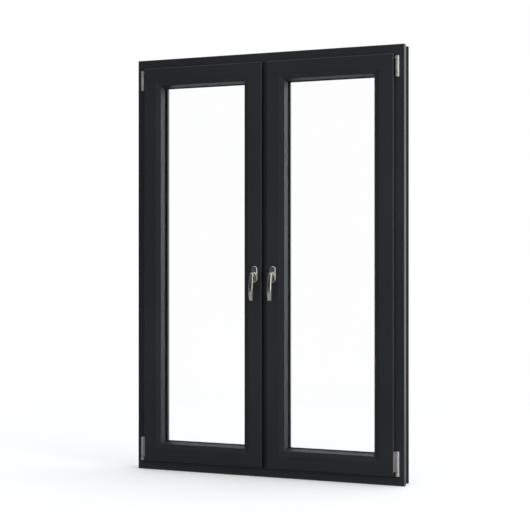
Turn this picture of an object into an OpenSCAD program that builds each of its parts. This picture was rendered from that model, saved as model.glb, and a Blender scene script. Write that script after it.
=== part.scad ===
// Two-sash tilt-and-turn window with a fixed mullion, in anthracite plastic profiles.
// X runs to the right seen from the room, Y runs from the room to the outside, Z is up.
// The origin is the middle of the front bearing land under the sill.
// A section is drawn as [distance in from the outer edge, depth behind the frame's room face].

/* [Window] */
// Overall width of the frame
frame_width = 1200; // [1000:10:1500]
// Overall height of the frame
frame_height = 1800; // [1400:10:2200]

/* [Frame profile] */
// Depth of the frame from its room face to its outside face
frame_depth = 82; // [80:1:90]
// Width of the frame's room face
frame_face = 49; // [46:1:58]
// Height of the outside leg above the rebate
rebate_height = 20; // [18:1:24]
// Thickness of the outside leg
leg_depth = 18; // [15:1:20]
// How far the outside leg leans back
leg_lean = 4; // [1:0.5:5]
// Room-side bearing land around the outer edge
front_land = 28; // [24:1:32]
// Outside bearing land around the outer edge
rear_land = 16; // [12:1:20]
// Depth of the clip groove between the two lands
clip_depth = 6; // [4:0.5:8]
// Thickness of the outer walls of all profiles
wall = 3; // [2.6:0.1:3.4]
// Thickness of the webs between the chambers
web = 2; // [1.4:0.1:2.4]
// Rounding of the profile edges that show
edge_round = 2.5; // [1:0.5:3]
// Depth of the frame's chamber on the room side
room_chamber = 14; // [12:1:16]
// Depth of the frame's steel chamber
steel_chamber = 33; // [30:1:35]
// Wall of the steel reinforcement
steel_wall = 1.5; // [1:0.25:2]

/* [Mullion] */
// Width of the mullion's room face
mullion_face = 40; // [38:1:60]

/* [Sash profile] */
// How far the sash stands in front of the frame's room face
sash_proud = 22; // [20:1:26]
// Overlap of the sash flange over the frame
overlap = 8; // [7:0.5:10]
// Gap between the sash and the frame, in front and behind
seal_gap = 4; // [3.6:0.2:4.6]
// Gap between the sash edge and the frame's rebate, for the fittings
hardware_gap = 12; // [11.5:0.5:14]
// Width of the sash's room face up to the bead
sash_face = 57; // [56:1:66]
// How far the sash's outside leg leans back
sash_lean = 3.5; // [3:0.5:12]
// Width of the fittings groove in the sash edge
groove_width = 16; // [15:0.5:18]
// Depth of the fittings groove
groove_depth = 5.5; // [5.2:0.1:6.5]
// Distance of the groove's middle behind the flange
groove_axis = 13; // [12:0.5:15]

/* [Beads and glass] */
// Width of the glazing bead's face
bead_flat = 20.5; // [14:0.5:22]
// How far the bead's face falls back towards the glass
bead_drop = 4; // [1:0.5:6]
// Width of the bead's steep flank
bead_flank = 7.5; // [6:0.5:12]
// Depth of the bead from the room face
bead_depth = 27; // [24:1:29]
// Thickness of each glass pane
pane = 4; // [3:0.5:5]
// Space between the panes
cavity = 16; // [14:1:18]
// Thickness of the glazing seal on the room side
inner_seal = 3; // [2:0.5:4]
// Thickness of the glazing seal on the outside
outer_seal = 4; // [3:0.5:5]
// Gap between the glass edge and the glazing rebate
glass_play = 5; // [4:0.5:7]
// Height of the spacer bar
spacer_height = 12; // [8:1:14]

/* [Handle] */
// Height of the handle axis above the sill
handle_height = 860; // [700:10:1000]
// Distance of the handle axis from the edge of the sash flange
handle_set = 29; // [28:0.5:30]
// Length of the lever below its axis
lever_length = 110; // [90:1:130]
// Distance of the lever's top from the sash face
lever_off = 34; // [33:1:40]
// Distance of the lever's tip from the sash face
lever_tip_off = 45; // [40:1:52]
// How far the middle of the lever bows out
lever_bow = 10; // [4:0.5:14]
// Width of the lever at its top
lever_width = 14.5; // [14:0.5:18]
// How much wider the lever is at its middle
lever_swell = 3.5; // [0:0.5:5]
// Width of the lever at its tip
lever_tip = 15.5; // [11:0.5:18]
// Thickness of the lever at its top
lever_thick = 11.5; // [9:0.5:14]
// Thickness of the lever at its tip
lever_tip_thick = 10.5; // [7:0.5:12]
// Width of the rosette
rosette_width = 28; // [26:0.5:32]
// Height of the rosette
rosette_height = 70; // [66:1:80]
// Thickness of the rosette
rosette_thick = 10; // [9:0.5:12]
// Radius of the lever's neck
neck_radius = 6.5; // [6.25:0.25:6.75]
// Width of the square spindle
spindle_width = 7; // [6:0.25:7]
// Distance between the two handle screws
screw_spacing = 43; // [40:0.5:44]

/* [Drive] */
// Pitch radius of the pinion
pinion_radius = 5; // [4.8:0.1:5.2]
// Teeth on the pinion
pinion_teeth = 10; // [9:1:12]
// Turn of the handle from closed to tilt
handle_turn = 180; // [90:10:180]
// Radius of a locking cam
cam_radius = 4; // [3:0.25:4.5]
// How far a cam stands out of the sash edge
cam_reach = 9.5; // [8:0.25:10]

/* [Hinges] */
// Distance of the hinge axis from the frame's outer edge
hinge_set = 27; // [24:0.5:28]
// Distance of the hinge axis in front of the frame's room face
hinge_out = 9.5; // [9:0.25:11]
// Radius of the hinge barrels
barrel_radius = 7.75; // [6:0.25:8.5]
// Radius of the lower bearing
bearing_radius = 8.25; // [7:0.25:8.75]
// Height of the lower bearing's underside above the sill
bearing_low = 41; // [34:1:46]
// Height of the lower bearing
bearing_height = 13; // [11:0.5:15]
// Height of the lower hinge band
band_height = 87; // [70:1:110]
// Distance of the upper hinge's end from the top of the frame
stay_drop = 49; // [45:0.5:49]
// Height of the upper bearing
stay_bearing_height = 51; // [40:1:60]
// Height of the knob on the upper hinge pin
knob_height = 16; // [10:1:20]
// Radius of the upper hinge pin
pin_radius = 3; // [2.5:0.25:3.5]
// Length of the stay arm from the hinge axis to its stud, as a share of the sash width
stay_share = 0.8044; // [0.7:0.0004:0.82]

/* [Hidden] */

// Colours of the pieces
anthracite = "#3b4146";
nickel = "#c9c7c0";
zinc = "#9aa0a3";
rubber_black = "#1c1d1f";
glass_tint = "#cfe3e6";
block_blue = "#4f6f96";

// Cuts run this far past the faces they open
overrun = 1;
// Sides of the small circles
round_sides = 48;
// Clearance of turning and sliding pieces
run_play = 0.05;

// Slots that hold the feet of the seals
slot_width = 2.4;
slot_depth = 2;
seal_width = 5;
frame_seal_set = 7;
sash_seal_set = 3;
seal_clear = 0.4;
flange_seal_clear = 1.8;

// Places of the frame profile
room_y = -front_land / 2;
leg_face = frame_depth - leg_depth;
leg_tip = frame_face + rebate_height;
clip_width = frame_depth - front_land - rear_land;
chamber_in = clip_depth + wall;
chamber_out = frame_face - wall;
steel_start = wall + room_chamber + web;
steel_stop = steel_start + steel_chamber;
frame_chambers = [
    [wall, wall, chamber_out, wall + room_chamber],
    [chamber_in, steel_start, chamber_out, steel_stop],
    [chamber_in, steel_stop + web, chamber_out, frame_depth - wall],
    [frame_face, leg_face + wall + slot_depth, leg_tip - leg_lean - wall, frame_depth - wall]
];

// Places of the mullion profile
mullion_half = mullion_face / 2;
mullion_tip = mullion_half + rebate_height;

// Places of the sash profile, counted from the edge of its flange
flange_set = frame_face - overlap;
sash_edge = overlap + hardware_gap;
sash_tip = sash_face + bead_flat + bead_flank;
sash_back = leg_face - seal_gap;
sash_x = flange_set - frame_width / 2;
sash_z = flange_set;
sash_width = (frame_width - 2 * frame_face - mullion_face) / 2 + 2 * overlap;
sash_height = frame_height - 2 * flange_set;
sash_front = -sash_proud;
bead_back = sash_front + bead_depth;
glass_in = bead_back + inner_seal;
glass_out = glass_in + 2 * pane + cavity;
sash_leg_face = glass_out + outer_seal;
sash_lip = 2;
joint_bevel = 0.7;
bead_wall = 2;
bead_lip = 2;
bead_slot_depth = 2;
bead_slot_width = 4;
bead_foot_play = 0.2;
bead_slot_back = bead_back - bead_wall - bead_slot_width;
groove_mid = groove_axis - seal_gap;
groove_ledge = 1.5;
groove_inner = groove_width - 2 * groove_ledge;
mid_start = web - seal_gap - wall;
mid_stop = sash_leg_face - wall;
fitting_start = sash_edge + groove_depth + wall;
fitting_chamber = 9;
fitting_stop = fitting_start + fitting_chamber;
sash_chambers = [
    [wall, sash_front + wall, sash_face - wall - bead_slot_depth, -seal_gap - wall],
    [fitting_start, mid_start, fitting_stop, mid_stop],
    [fitting_stop + web, mid_start, sash_face - wall, mid_stop],
    [sash_edge + wall, mid_stop + web, sash_face - wall, sash_back - wall],
    [sash_face + wall, sash_leg_face + wall, sash_tip - sash_lean - wall, sash_back - wall]
];
steel_play = 0.5;
steel_end = 12;
mitre_reach = 2 * frame_depth;

// Glass pieces
glass_edge = sash_face + glass_play;
spacer_set = 1;
block_set = 60;
block_length = 100;
glazing_seal_width = 6;

// Drain slots and their caps, two under each sash
drain_length = 28;
drain_height = 5;
drain_rise = 5;
drain_shares = [0.3, 0.7];
cap_margin = 3;
cap_thick = 3;
cap_wall = 1.2;

// Lock side of the left sash
lock_x = -mullion_half - hardware_gap;
flange_x = overlap - mullion_half;
axis_x = flange_x - handle_set;
face_y = room_y + sash_front;
groove_y = room_y + groove_mid;
case_y = room_y - seal_gap;
case_depth = 19;
case_half = 36;
case_play = 0.2;
case_side = 3;
case_back = axis_x - pinion_radius - case_side;

// Pinion and rack
pressure = 25;
tooth_pitch = 2 * PI * pinion_radius / pinion_teeth;
tooth_unit = 2 * pinion_radius / pinion_teeth;
tooth_tip_share = 0.8;
tooth_root_share = 1.05;
tooth_tip = tooth_tip_share * tooth_unit;
tooth_root = tooth_root_share * tooth_unit;
tooth_play = 0.12;
tooth_steps = 4;
tooth_depth = 9;
base_radius = pinion_radius * cos(pressure);
tip_radius = pinion_radius + tooth_tip;
root_radius = pinion_radius - tooth_root;
journal_radius = 5.5;
rear_journal_radius = 3;
rear_wall = 1.2;
rod_travel = pinion_radius * handle_turn * PI / 180;
rack_below = 4;
rack_above = 9;
rack_x = axis_x + pinion_radius;
rod_gap = 0.1;
rod_thick = 2.6;
rod_width = 8;
rod_front = lock_x - groove_ledge - rod_gap;
rod_back = rod_front - rod_thick;
rod_end = 25;
cam_play = 1;
cam_shares = [0.12, 0.62, 0.88];
cam_heights = [for (s = cam_shares) sash_z + s * sash_height];
plate_end = 60;
keep_thick = 1.5;
keep_lip = 6.5;
keep_lip_thick = 2;
keep_lip_length = 16;
keep_play = 0.4;
keep_mouth = 2.5;
keep_back = 18;
keep_below = 24;

// Handle pieces
base_thick = 4;
base_margin = 2.2;
base_play = 0.2;
rosette_round = 5;
rosette_front = 2;
neck_foot = 1;
neck_round = 2;
socket_depth = 24;
screw_radius = 2.4;
screw_head_radius = 4.4;
screw_head = 2.4;
screw_reach = 8;
hole_play = 0.4;
lever_above = 7;
lever_steps = 22;
lever_ring = 24;
lever_end_steps = 3;
lever_end = 2.5;
lever_square_share = 0.62;

// Hinge pieces
hinge_x = hinge_set - frame_width / 2;
hinge_y = room_y - hinge_out;
barrel_round = 1;
bracket_width = 9;
bearing_top = bearing_low + bearing_height;
stem_radius = 2.4;
stem_floor = 3;
band_gap = 1;
band_low = bearing_top + band_gap;
eye_thick = 5;
eye_radius = 5;
eye_play = 0.2;
tilt_rise = 6;
tilt_z = band_low + tilt_rise;
tilt_radius = 2;
tilt_end = 0.6;
wing_thick = 3;
wing_low = 4;
wing_inset = 2;
rib_thick = 4;
stay_top = frame_height - stay_drop;
stay_eye_height = 19;
stay_gap = 0.5;
stay_bearing_top = stay_top - stay_eye_height - stay_gap;
stay_bearing_low = stay_bearing_top - stay_bearing_height;
knob_round = 3;
sash_top = frame_height - frame_face - hardware_gap;
arm_lift = 4;
arm_thick = 4;
arm_width = 14;
arm_low = sash_top + arm_lift;
arm_web_play = 0.7;
arm_web_rise = 2;
arm_bridge = 9;
arm_bridge_play = 1;
stud_radius = 4;
stud_play = 2;
stud_tip_gap = 0.5;
stud_depth = groove_depth - stud_tip_gap;
stud_x = hinge_x + stay_share * sash_width;
stud_travel = 24;
rail_start = 90;
rail_end = 40;

// A block between two opposite corners
module block(low, high) {
    translate(low) cube(high - low);
}

// The sliver outside a rounded corner that lies at zero and opens to +X and +Y
module round_cut(radius) {
    difference() {
        translate([-overrun, -overrun]) square(radius + overrun);
        translate([radius, radius]) circle(radius, $fn = round_sides);
    }
}

// Chambers of a section, each given by two corners
module chambers(table) {
    for (c = table) translate([c[0], c[1]]) square([c[2] - c[0], c[3] - c[1]]);
}

// A bar along one side of a frame of this width and height, drawn for its left side
module on_side(width, height, side) {
    if (side == "left") children();
    if (side == "right") translate([width, 0, 0]) mirror([1, 0, 0]) children();
    if (side == "bottom") translate([width, 0, 0]) rotate([0, -90, 0]) children();
    if (side == "top") translate([width, 0, height]) mirror([0, 0, 1]) rotate([0, -90, 0]) children();
}

// A section run along Z and cut at 45 degrees at both ends
module mitred(run) {
    intersection() {
        linear_extrude(height = run) children();
        translate([0, mitre_reach, 0]) rotate([90, 0, 0]) linear_extrude(height = 2 * mitre_reach)
            polygon([
                [-overrun, -overrun], [mitre_reach, mitre_reach],
                [mitre_reach, run - mitre_reach], [-overrun, run + overrun]
            ]);
    }
}

// A flat ring between two insets from the edges of a frame and between two depths
module ring(width, height, edge, inset, front, back) {
    difference() {
        block([edge, front, edge], [width - edge, back, height - edge]);
        block(
            [inset, front - overrun, inset],
            [width - inset, back + overrun, height - inset]
        );
    }
}

module at_frame() {
    translate([-frame_width / 2, room_y, 0]) children();
}

module at_sash() {
    translate([sash_x, room_y, sash_z]) children();
}

module flip() {
    mirror([1, 0, 0]) children();
}

// A steel tube in a chamber of a straight bar, cut square clear of the mitres
module steel_bar(chamber, run, clear) {
    low = chamber[0] + steel_play;
    high = chamber[2] - steel_play;
    translate([0, 0, clear]) linear_extrude(height = run - 2 * clear) difference() {
        translate([low, chamber[1]]) square([high - low, chamber[3] - chamber[1]]);
        translate([low + steel_wall, chamber[1] + steel_wall])
            square([high - low - 2 * steel_wall, chamber[3] - chamber[1] - 2 * steel_wall]);
    }
}

// A turned barrel with rounded ends
module barrel(radius, height, rounding) {
    rotate_extrude($fn = round_sides) difference() {
        square([radius, height]);
        translate([radius, 0]) mirror([1, 0]) round_cut(rounding);
        translate([radius, height]) mirror([1, 0]) mirror([0, 1]) round_cut(rounding);
    }
}

// Frame

module frame_outline() {
    polygon([
        [0, 0], [frame_face, 0], [frame_face, leg_face], [leg_tip, leg_face],
        [leg_tip - leg_lean, frame_depth], [0, frame_depth]
    ]);
}

module frame_section() {
    difference() {
        frame_outline();
        translate([-overrun, front_land]) square([clip_depth + overrun, clip_width]);
        translate([frame_face + frame_seal_set, leg_face - overrun])
            square([slot_width, slot_depth + overrun]);
        round_cut(edge_round);
        translate([frame_face, 0]) mirror([1, 0]) round_cut(edge_round);
        chambers(frame_chambers);
    }
}

module frame_bar(side, run) {
    color(anthracite) at_frame() on_side(frame_width, frame_height, side) mitred(run) frame_section();
}

// Slots in the leg of the head or the sill that carry the mullion's two seals on
module seal_crossing(low, high) {
    near = mullion_half + frame_seal_set;
    for (m = [0, 1]) mirror([m, 0, 0]) block(
        [near, room_y + leg_face - overrun, low],
        [near + slot_width, room_y + leg_face + slot_depth, high]
    );
}

module frame_head() {
    color(anthracite) difference() {
        frame_bar("top", frame_width);
        seal_crossing(
            frame_height - leg_tip - overrun,
            frame_height - frame_face - frame_seal_set - slot_width / 2
        );
    }
}

// One drain slot out of the outer chamber, centred on zero
module drain_slot() {
    block(
        [-drain_length / 2, frame_depth - wall - overrun, chamber_in + drain_rise],
        [drain_length / 2, frame_depth + overrun, chamber_in + drain_rise + drain_height]
    );
    block(
        [-drain_length / 2, leg_face - drain_height - wall, chamber_out - overrun],
        [drain_length / 2, leg_face - wall, frame_face + overrun]
    );
}

// Places of the drain slots along the sill
module at_drains() {
    for (s = drain_shares)
        translate([sash_x + s * sash_width, room_y, 0]) children();
    for (s = drain_shares)
        translate([-sash_x - s * sash_width, room_y, 0]) children();
}

module frame_sill() {
    color(anthracite) difference() {
        frame_bar("bottom", frame_width);
        at_drains() drain_slot();
        seal_crossing(frame_face + frame_seal_set + slot_width / 2, leg_tip + overrun);
    }
}

module frame_left_jamb() {
    frame_bar("left", frame_height);
}

module frame_right_jamb() {
    frame_bar("right", frame_height);
}

module drain_caps() {
    low = chamber_in + drain_rise - cap_margin;
    high = chamber_in + drain_rise + drain_height + cap_margin;
    half = drain_length / 2 + cap_margin;
    color(anthracite) at_drains() difference() {
        block([-half, frame_depth, low], [half, frame_depth + cap_thick, high]);
        block(
            [-drain_length / 2, frame_depth - overrun, low - overrun],
            [drain_length / 2, frame_depth + cap_thick - cap_wall, high - cap_wall]
        );
    }
}

module mullion_section() {
    difference() {
        polygon([
            [-mullion_half, 0], [mullion_half, 0], [mullion_half, leg_face], [mullion_tip, leg_face],
            [mullion_tip - leg_lean, frame_depth], [leg_lean - mullion_tip, frame_depth],
            [-mullion_tip, leg_face], [-mullion_half, leg_face]
        ]);
        for (m = [0, 1]) mirror([m, 0]) {
            translate([mullion_half, 0]) mirror([1, 0]) round_cut(edge_round);
            translate([mullion_half + frame_seal_set, leg_face - overrun])
                square([slot_width, slot_depth + overrun]);
        }
        chambers(mullion_chambers);
    }
}

mullion_chambers = [
    [wall - mullion_half, wall, mullion_half - wall, wall + room_chamber],
    [wall - mullion_half, steel_start, mullion_half - wall, steel_stop],
    [
        leg_lean + wall - mullion_tip, leg_face + wall + slot_depth,
        mullion_tip - leg_lean - wall, frame_depth - wall
    ]
];

module mullion() {
    color(anthracite) difference() {
        translate([0, room_y, 0]) linear_extrude(height = frame_height) mullion_section();
        for (side = ["bottom", "top"])
            at_frame() on_side(frame_width, frame_height, side)
                linear_extrude(height = frame_width) frame_outline();
    }
}

module frame_steels() {
    clear = chamber_out + steel_end;
    color(zinc) {
        for (side = ["left", "right"])
            at_frame() on_side(frame_width, frame_height, side)
                steel_bar(frame_chambers[1], frame_height, clear);
        for (side = ["bottom", "top"])
            at_frame() on_side(frame_width, frame_height, side)
                steel_bar(frame_chambers[1], frame_width, clear);
        translate([0, room_y, 0]) steel_bar(mullion_chambers[1], frame_height, frame_face + steel_end);
    }
}

// The seal around one sash: a foot in the slot and a lip against the sash
module frame_seal() {
    edge = overlap + frame_seal_set;
    at_sash() {
        ring(sash_width, sash_height, edge, edge + slot_width, leg_face - overrun, leg_face + slot_depth);
        ring(sash_width, sash_height, edge, edge + seal_width, sash_back + seal_clear, leg_face);
    }
}

module frame_seals() {
    color(rubber_black) {
        union() frame_seal();
        flip() union() frame_seal();
    }
}

// One keep on the mullion, with its lip above the cam so that the sash is free
module keep(height) {
    lip_back = groove_y - cam_radius - keep_play;
    lip_low = height + cam_radius + keep_mouth;
    block(
        [-mullion_half - keep_thick, lip_back - keep_lip_thick, height - keep_below],
        [-mullion_half, lip_back + keep_back, lip_low + keep_lip_length]
    );
    block(
        [-mullion_half - keep_lip, lip_back - keep_lip_thick, lip_low],
        [-mullion_half, lip_back, lip_low + keep_lip_length]
    );
}

module keeps() {
    color(zinc) for (height = cam_heights) {
        union() keep(height);
        flip() union() keep(height);
    }
}

// Hinges on the frame

module bracket(radius, low, height) {
    difference() {
        union() {
            translate([hinge_x, hinge_y, low]) barrel(radius, height, barrel_round);
            block(
                [hinge_x - bracket_width / 2, hinge_y, low + barrel_round],
                [hinge_x + bracket_width / 2, room_y, low + height - barrel_round]
            );
        }
        children();
    }
}

module corner_bearing() {
    bracket(bearing_radius, bearing_low, bearing_height)
        translate([hinge_x, hinge_y, bearing_low + stem_floor])
            cylinder(r = stem_radius + run_play, h = bearing_height, $fn = round_sides);
}

module corner_bearings() {
    color(nickel) {
        corner_bearing();
        flip() corner_bearing();
    }
}

module stay_bearing() {
    bracket(barrel_radius, stay_bearing_low, stay_bearing_height)
        translate([hinge_x, hinge_y, stay_bearing_low - overrun])
            cylinder(r = pin_radius + run_play, h = stay_bearing_height + 2 * overrun, $fn = round_sides);
}

module stay_bearings() {
    color(nickel) {
        stay_bearing();
        flip() stay_bearing();
    }
}

module stay_pin() {
    translate([hinge_x, hinge_y, stay_bearing_low - knob_height]) {
        barrel(barrel_radius, knob_height, knob_round);
        cylinder(r = pin_radius, h = stay_top - stay_bearing_low + knob_height, $fn = round_sides);
    }
}

module stay_pins() {
    color(nickel) {
        union() stay_pin();
        flip() union() stay_pin();
    }
}

// Sash profiles

module sash_section() {
    difference() {
        polygon([
            [0, sash_front], [sash_face - joint_bevel, sash_front], [sash_face, sash_front + joint_bevel],
            [sash_face, sash_leg_face], [sash_tip, sash_leg_face], [sash_tip, sash_leg_face + sash_lip],
            [sash_tip - sash_lean, sash_back], [sash_edge, sash_back],
            [sash_edge, -seal_gap], [0, -seal_gap]
        ]);
        translate([0, sash_front]) round_cut(edge_round);
        translate([sash_face - bead_slot_depth, bead_slot_back])
            square([bead_slot_depth + overrun, bead_slot_width]);
        translate([sash_edge - overrun, groove_mid - groove_width / 2])
            square([groove_ledge + overrun, groove_width]);
        translate([sash_edge, groove_mid - groove_inner / 2]) square([groove_depth, groove_inner]);
        translate([sash_seal_set, -seal_gap - slot_depth]) square([slot_width, slot_depth + overrun]);
        chambers(sash_chambers);
    }
}

module sash_bar(side, run) {
    color(anthracite) at_sash() on_side(sash_width, sash_height, side) mitred(run) sash_section();
}

module left_sash_top_rail() {
    sash_bar("top", sash_width);
}

module left_sash_bottom_rail() {
    sash_bar("bottom", sash_width);
}

module left_sash_hinge_stile() {
    sash_bar("left", sash_height);
}

// Places along the handle axis, with X across, Z up and Y counted from the sash face
module at_handle() {
    translate([axis_x, face_y, handle_height]) children();
}

// A round bar along Y
module rod_y(radius, front, back) {
    translate([0, back, 0]) rotate([90, 0, 0]) cylinder(r = radius, h = back - front, $fn = round_sides);
}

module left_sash_lock_stile() {
    color(anthracite) difference() {
        sash_bar("right", sash_height);
        block(
            [case_back - case_play, case_y, handle_height - case_half - case_play],
            [
                lock_x - groove_depth + overrun, case_y + case_depth + case_play,
                handle_height + case_half + case_play
            ]
        );
        at_handle() {
            rod_y(journal_radius, -overrun, sash_proud + groove_mid);
            for (m = [-1, 1]) translate([0, 0, m * screw_spacing / 2])
                rod_y(screw_radius + hole_play, -overrun, sash_proud);
        }
    }
}

module left_sash_steels() {
    clear = sash_face + steel_end;
    color(zinc) at_sash() {
        for (side = ["left", "right"])
            on_side(sash_width, sash_height, side) steel_bar(sash_chambers[2], sash_height, clear);
        for (side = ["bottom", "top"])
            on_side(sash_width, sash_height, side) steel_bar(sash_chambers[2], sash_width, clear);
    }
}

// Glazing

module bead_section() {
    difference() {
        union() {
            polygon([
                [sash_face, sash_front + joint_bevel], [sash_face + joint_bevel, sash_front],
                [sash_face + bead_flat, sash_front + bead_drop], [sash_tip, bead_back - bead_lip],
                [sash_tip, bead_back], [sash_face, bead_back]
            ]);
            translate([sash_face - bead_slot_depth + bead_foot_play, bead_slot_back + bead_foot_play])
                square([bead_slot_depth, bead_slot_width - 2 * bead_foot_play]);
        }
        polygon([
            [sash_face + bead_wall, sash_front + bead_wall],
            [sash_face + bead_flat - bead_wall, sash_front + bead_drop + bead_wall],
            [sash_tip - 2 * bead_wall, bead_back - bead_wall],
            [sash_face + bead_wall, bead_back - bead_wall]
        ]);
    }
}

module left_glazing_beads() {
    color(anthracite) at_sash() {
        for (side = ["left", "right"])
            on_side(sash_width, sash_height, side) mitred(sash_height) bead_section();
        for (side = ["bottom", "top"])
            on_side(sash_width, sash_height, side) mitred(sash_width) bead_section();
    }
}

module left_glass_panes() {
    color(glass_tint) at_sash() for (front = [glass_in, glass_out - pane])
        block(
            [glass_edge, front, glass_edge],
            [sash_width - glass_edge, front + pane, sash_height - glass_edge]
        );
}

module left_spacer_bar() {
    edge = glass_edge + spacer_set;
    color(zinc) at_sash()
        ring(sash_width, sash_height, edge, edge + spacer_height, glass_in + pane, glass_out - pane);
}

module left_glazing_seals() {
    edge = sash_tip - glazing_seal_width;
    color(rubber_black) at_sash() {
        ring(sash_width, sash_height, edge, sash_tip, bead_back, glass_in);
        ring(sash_width, sash_height, edge, sash_tip, glass_out, sash_leg_face);
    }
}

// Two setting blocks along one bar
module block_pair(run) {
    for (start = [sash_face + block_set, run - sash_face - block_set - block_length])
        block([sash_face, glass_in, start], [glass_edge, glass_out, start + block_length]);
}

module left_setting_blocks() {
    color(block_blue) at_sash() {
        for (side = ["left", "right"]) on_side(sash_width, sash_height, side) block_pair(sash_height);
        for (side = ["bottom", "top"]) on_side(sash_width, sash_height, side) block_pair(sash_width);
    }
}

module left_sash_seal() {
    color(rubber_black) difference() {
        at_sash() union() {
            ring(
                sash_width, sash_height, sash_seal_set, sash_seal_set + slot_width,
                -seal_gap - slot_depth, overrun - seal_gap
            );
            ring(
                sash_width, sash_height, sash_seal_set, sash_seal_set + seal_width,
                -seal_gap, -flange_seal_clear
            );
        }
        block(
            [sash_x - overrun, room_y - seal_gap, arm_low - arm_web_rise - arm_web_play],
            [
                sash_x + sash_seal_set + seal_width + overrun, room_y,
                arm_low + arm_thick + arm_web_rise + arm_web_play
            ]
        );
    }
}

// Lower hinge of the left sash

module at_hinge(height) {
    translate([hinge_x, hinge_y, height]) children();
}

// A round bar along X
module rod_x(radius, low, high) {
    translate([low, 0, 0]) rotate([0, 90, 0]) cylinder(r = radius, h = high - low, $fn = round_sides);
}

module left_sash_band() {
    wing_x = sash_x - hinge_x;
    slot_half = eye_thick / 2 + eye_play;
    color(nickel) at_hinge(band_low) difference() {
        union() {
            barrel(barrel_radius, band_height, barrel_round);
            block(
                [wing_x - wing_thick, sash_front + wing_inset + hinge_out, wing_low],
                [wing_x, hinge_out - seal_gap - wing_inset, band_height - barrel_round]
            );
            block(
                [0, -rib_thick / 2, wing_low],
                [wing_x - wing_thick, rib_thick / 2, band_height - barrel_round]
            );
        }
        block(
            [-slot_half, -barrel_radius - overrun, -overrun],
            [slot_half, barrel_radius + overrun, tilt_rise + eye_radius + band_gap]
        );
        translate([0, 0, tilt_rise]) rod_x(tilt_radius, -barrel_radius - overrun, barrel_radius + overrun);
    }
}

module left_tilt_link() {
    color(zinc) difference() {
        union() {
            at_hinge(bearing_low + stem_floor)
                cylinder(r = stem_radius, h = tilt_z - bearing_low - stem_floor, $fn = round_sides);
            at_hinge(tilt_z) rod_x(eye_radius, -eye_thick / 2, eye_thick / 2);
        }
        at_hinge(tilt_z) rod_x(tilt_radius + run_play, -eye_thick, eye_thick);
    }
}

module left_tilt_pin() {
    color(zinc) at_hinge(tilt_z) rod_x(tilt_radius, tilt_end - barrel_radius, barrel_radius - tilt_end);
}

// Stay at the top of the left sash

module left_stay_arm() {
    web_front = room_y - seal_gap + arm_web_play;
    web_back = room_y - arm_web_play;
    web_low = arm_low - arm_web_rise;
    web_high = arm_low + arm_thick + arm_web_rise;
    bridge_x = frame_face - frame_width / 2 + arm_bridge_play;
    color(zinc) difference() {
        union() {
            at_hinge(stay_top - stay_eye_height) barrel(barrel_radius, stay_eye_height, barrel_round);
            block([hinge_x, hinge_y, web_low], [hinge_x + barrel_radius, web_back, web_high]);
            block([hinge_x, web_front, web_low], [bridge_x + arm_bridge, web_back, web_high]);
            block(
                [bridge_x, web_front, arm_low],
                [bridge_x + arm_bridge, groove_y + arm_width / 2, arm_low + arm_thick]
            );
            block(
                [bridge_x, groove_y - arm_width / 2, arm_low],
                [stud_x, groove_y + arm_width / 2, arm_low + arm_thick]
            );
            translate([stud_x, groove_y, arm_low])
                cylinder(r = arm_width / 2, h = arm_thick, $fn = round_sides);
            translate([stud_x, groove_y, sash_top - stud_depth])
                cylinder(r = stud_radius, h = stud_depth + arm_lift + arm_thick / 2, $fn = round_sides);
        }
        at_hinge(stay_top - stay_eye_height - overrun)
            cylinder(r = pin_radius + run_play, h = stay_eye_height + 2 * overrun, $fn = round_sides);
    }
}

module left_stay_rail() {
    slot = stud_radius + stud_play;
    color(zinc) difference() {
        block(
            [sash_x + rail_start, groove_y - groove_width / 2, sash_top - groove_ledge],
            [stud_x + stud_radius + rail_end, groove_y + groove_width / 2, sash_top]
        );
        block(
            [stud_x - stud_travel, groove_y - slot, sash_top - groove_ledge - overrun],
            [stud_x, groove_y + slot, sash_top + overrun]
        );
        for (x = [stud_x - stud_travel, stud_x])
            translate([x, groove_y, sash_top - groove_ledge - overrun])
                cylinder(r = slot, h = groove_ledge + 2 * overrun, $fn = round_sides);
    }
}

// Drive of the left sash

// Half the angle of a pinion tooth at a radius
function roll_angle(r) = sqrt(pow(max(r, base_radius) / base_radius, 2) - 1) * 180 / PI
    - acos(base_radius / max(r, base_radius));
function tooth_half(r) = 90 / pinion_teeth - tooth_play / pinion_radius * 90 / PI
    + roll_angle(pinion_radius) - roll_angle(r);
function tooth_radius(i) = root_radius + (tip_radius - root_radius) * i / tooth_steps;
function tooth_point(r, angle) = [r * cos(angle), r * sin(angle)];
function tooth_side(k, side) = [
    for (i = [0 : tooth_steps])
        let (r = tooth_radius(side < 0 ? i : tooth_steps - i))
        tooth_point(r, 360 / pinion_teeth * k + side * tooth_half(r))
];

module pinion_outline() {
    polygon([for (k = [0 : pinion_teeth - 1]) for (side = [-1, 1]) each tooth_side(k, side)]);
}

module left_spindle() {
    teeth_back = sash_proud - seal_gap + case_depth - rear_wall - run_play;
    color(zinc) at_handle() union() {
        block(
            [-spindle_width / 2, -socket_depth - neck_foot, -spindle_width / 2],
            [spindle_width / 2, sash_proud, spindle_width / 2]
        );
        rod_y(journal_radius - run_play, sash_proud - seal_gap, teeth_back - tooth_depth);
        translate([0, teeth_back, 0]) rotate([90, 0, 0]) linear_extrude(height = tooth_depth)
            pinion_outline();
        rod_y(rear_journal_radius - run_play, teeth_back - overrun, teeth_back + rear_wall);
    }
}

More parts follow.
